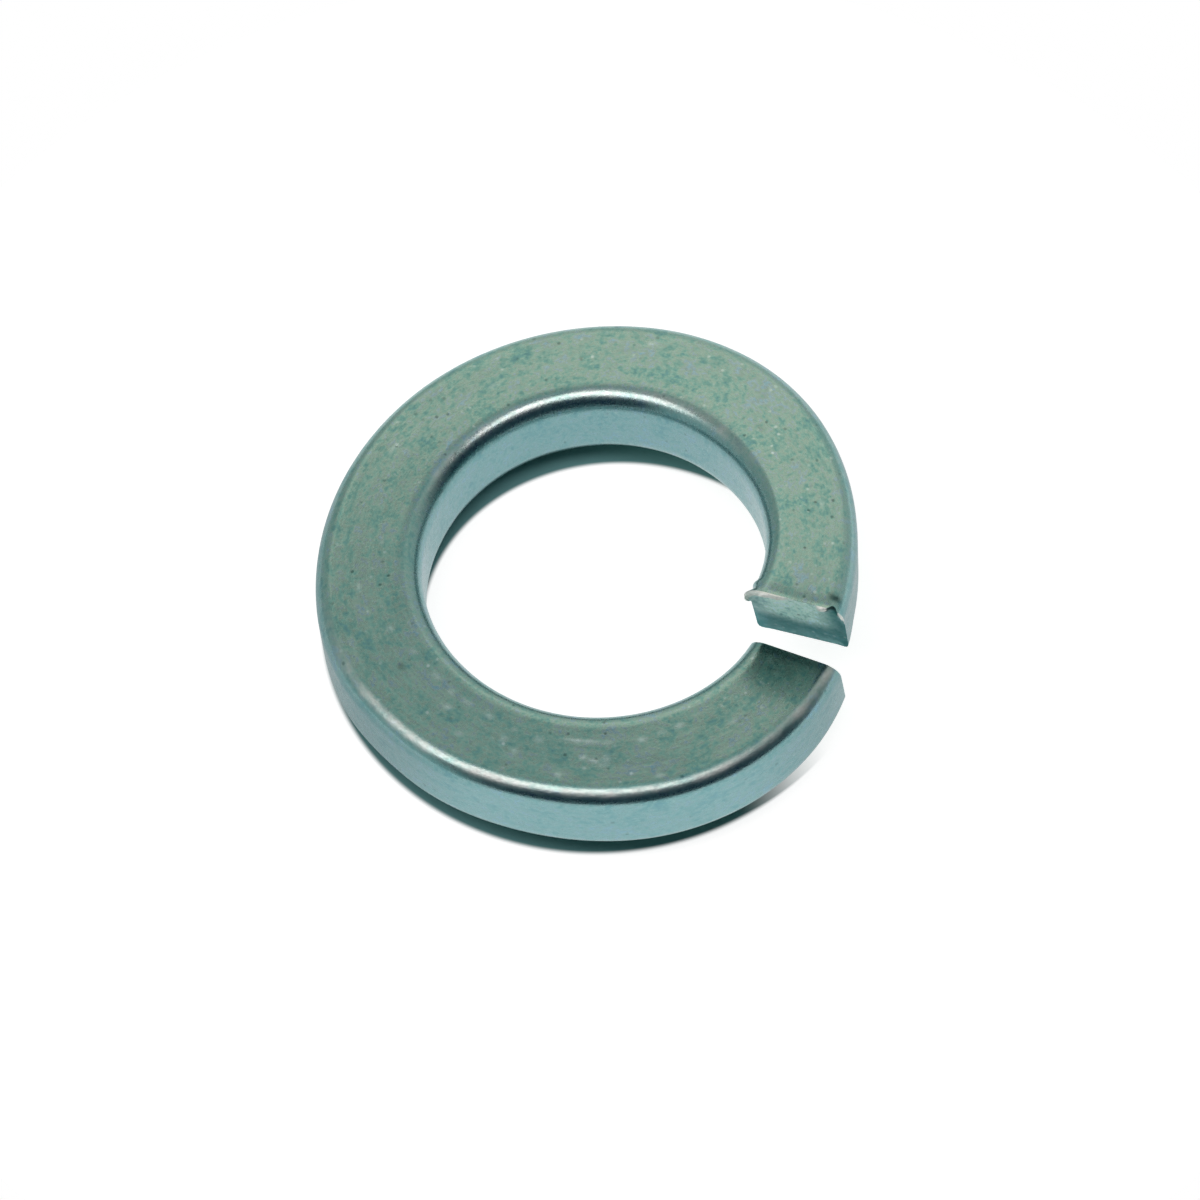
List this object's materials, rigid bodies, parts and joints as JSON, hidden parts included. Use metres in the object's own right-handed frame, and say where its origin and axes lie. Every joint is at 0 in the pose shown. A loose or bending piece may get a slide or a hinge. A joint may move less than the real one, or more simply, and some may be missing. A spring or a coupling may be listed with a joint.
{
  "type": "spring lock washer",
  "caption": "Split helical spring lock washer: one turn of thick keystone-section steel wire, sheared at a slant and sprung open, zinc plated.",
  "frame": {"origin": "on the bore axis, level with the lowest point of the low end", "axes": "+Z along the bore axis, towards the high end; +X through the middle of the split; seen from above the coil climbs clockwise from the low end at -Y to the high end at +Y"},
  "size_m": [0.0398, 0.0398, 0.012],
  "materials": {
    "zinc_plated_steel": "bright zinc plating with a clear bluish passivation, satin on the bearing faces and smoother on the drawn side walls"
  },
  "bodies": {
    "root": {"lock_washer": "zinc_plated_steel"}
  },
  "joints": []
}
